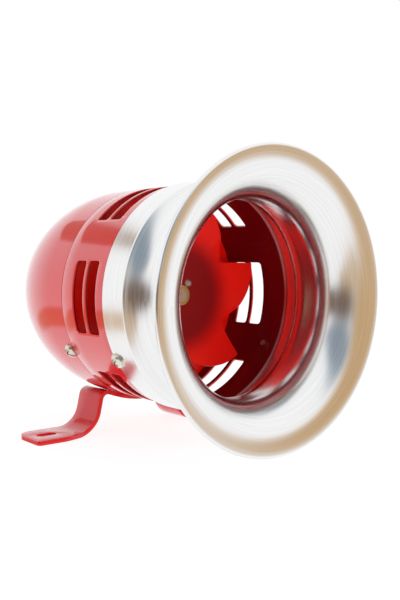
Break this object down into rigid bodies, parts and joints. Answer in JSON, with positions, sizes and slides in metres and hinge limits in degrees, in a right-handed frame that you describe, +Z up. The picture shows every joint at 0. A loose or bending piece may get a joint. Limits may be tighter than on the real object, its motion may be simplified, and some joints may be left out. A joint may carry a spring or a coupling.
{
  "type": "motor siren",
  "caption": "Small electric motor siren: flared aluminium horn, slotted ring with a spinning chopper wheel, domed red cover and a bent strap foot.",
  "frame": {"origin": "midway between the centres of the two foot slots, on the underside of the feet", "axes": "+Z up, away from the surface it is fastened to; -Y out of the horn's mouth, so +Y runs back along the shaft; X across the two feet"},
  "size_m": [0.125, 0.1685, 0.1291],
  "materials": {
    "spun_aluminium": "spun and bright, with fine turning lines",
    "red_enamel": "gloss baked enamel",
    "red_strap_enamel": "gloss enamel, slightly darker",
    "red_wheel_enamel": "satin enamel",
    "black_rubber": "moulded, matt",
    "brass": "turned",
    "zinc_steel": "zinc plated",
    "nickel_screw": "nickel plated",
    "black_steel": "blackened",
    "ground_steel": "ground",
    "core_steel": "stacked laminations",
    "copper_wire": "varnished copper wire",
    "copper": "turned copper bars",
    "phenolic": "moulded phenolic",
    "cast_aluminium": "die cast, grainy",
    "bronze": "sintered bronze",
    "carbon": "pressed carbon",
    "ivory_plastic": "moulded",
    "white_insulation": "extruded sleeve"
  },
  "bodies": {
    "casing": {"foot_bracket": "red_strap_enamel", "horn": "spun_aluminium", "port_ring": "red_enamel", "rear_cover": "red_enamel", "motor_plate": "red_wheel_enamel", "cable_grommet": "black_rubber", "field_stack": "core_steel", "field_coils": "copper_wire", "front_bracket": "cast_aluminium", "rear_bracket": "cast_aluminium", "front_bush": "bronze", "rear_bush": "bronze", "brush_holders": "phenolic", "brushes": "carbon", "brush_springs": "zinc_steel", "brush_caps": "phenolic", "motor_bolts": "zinc_steel", "motor_nuts": "zinc_steel", "plate_screws": "zinc_steel", "terminal_block": "ivory_plastic", "terminal_screws": "zinc_steel", "motor_leads": "white_insulation", "horn_screws": "nickel_screw", "cover_screws": "nickel_screw", "screw_washers": "nickel_screw", "bracket_screws": "nickel_screw", "bracket_nuts": "zinc_steel"},
    "rotor": {"chopper_wheel": "red_wheel_enamel", "wheel_hub": "brass", "hub_rivets": "zinc_steel", "hub_set_screw": "black_steel", "motor_shaft": "ground_steel", "armature_core": "core_steel", "armature_windings": "copper_wire", "commutator": "copper", "thrust_washers": "phenolic"}
  },
  "joints": [
    {"name": "rotor_spin", "type": "hinge", "parent": "casing", "child": "rotor", "pos_m": [0, 0, 0.0666], "axis": [0, 1, 0], "continuous": true}
  ]
}
